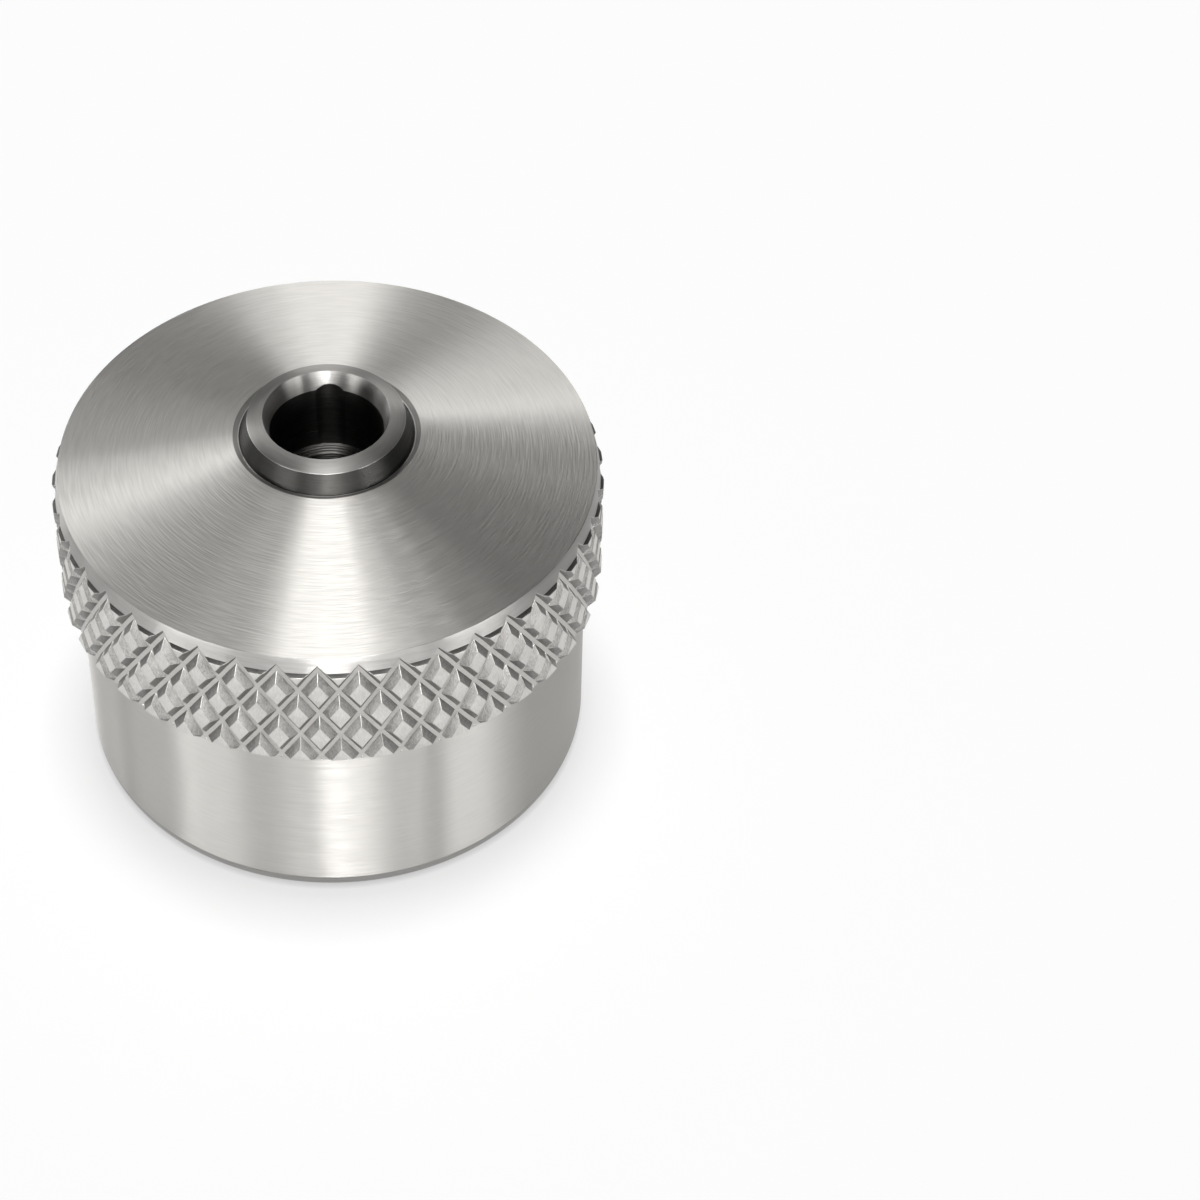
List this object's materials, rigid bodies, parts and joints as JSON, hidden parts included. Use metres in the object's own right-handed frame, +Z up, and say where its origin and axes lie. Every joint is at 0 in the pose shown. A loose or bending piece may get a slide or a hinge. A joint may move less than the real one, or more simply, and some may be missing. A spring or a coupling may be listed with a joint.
{
  "type": "knurled thumb nut",
  "caption": "Tall round thumb nut turned from bar, with a diamond knurled grip band, a plain body, a shallow conical top, a small bored boss and a threaded hole through its axis.",
  "frame": {"origin": "centre of the flat bottom face, on the axis of the hole", "axes": "+Z up along the axis from the plain body to the boss, +Y away from the camera of the picture, +X to its right"},
  "size_m": [0.032, 0.032, 0.0244],
  "materials": {
    "turned_metal": "turned, with fine circular tool marks"
  },
  "bodies": {
    "root": {"thumb_nut": "turned_metal"}
  },
  "joints": []
}
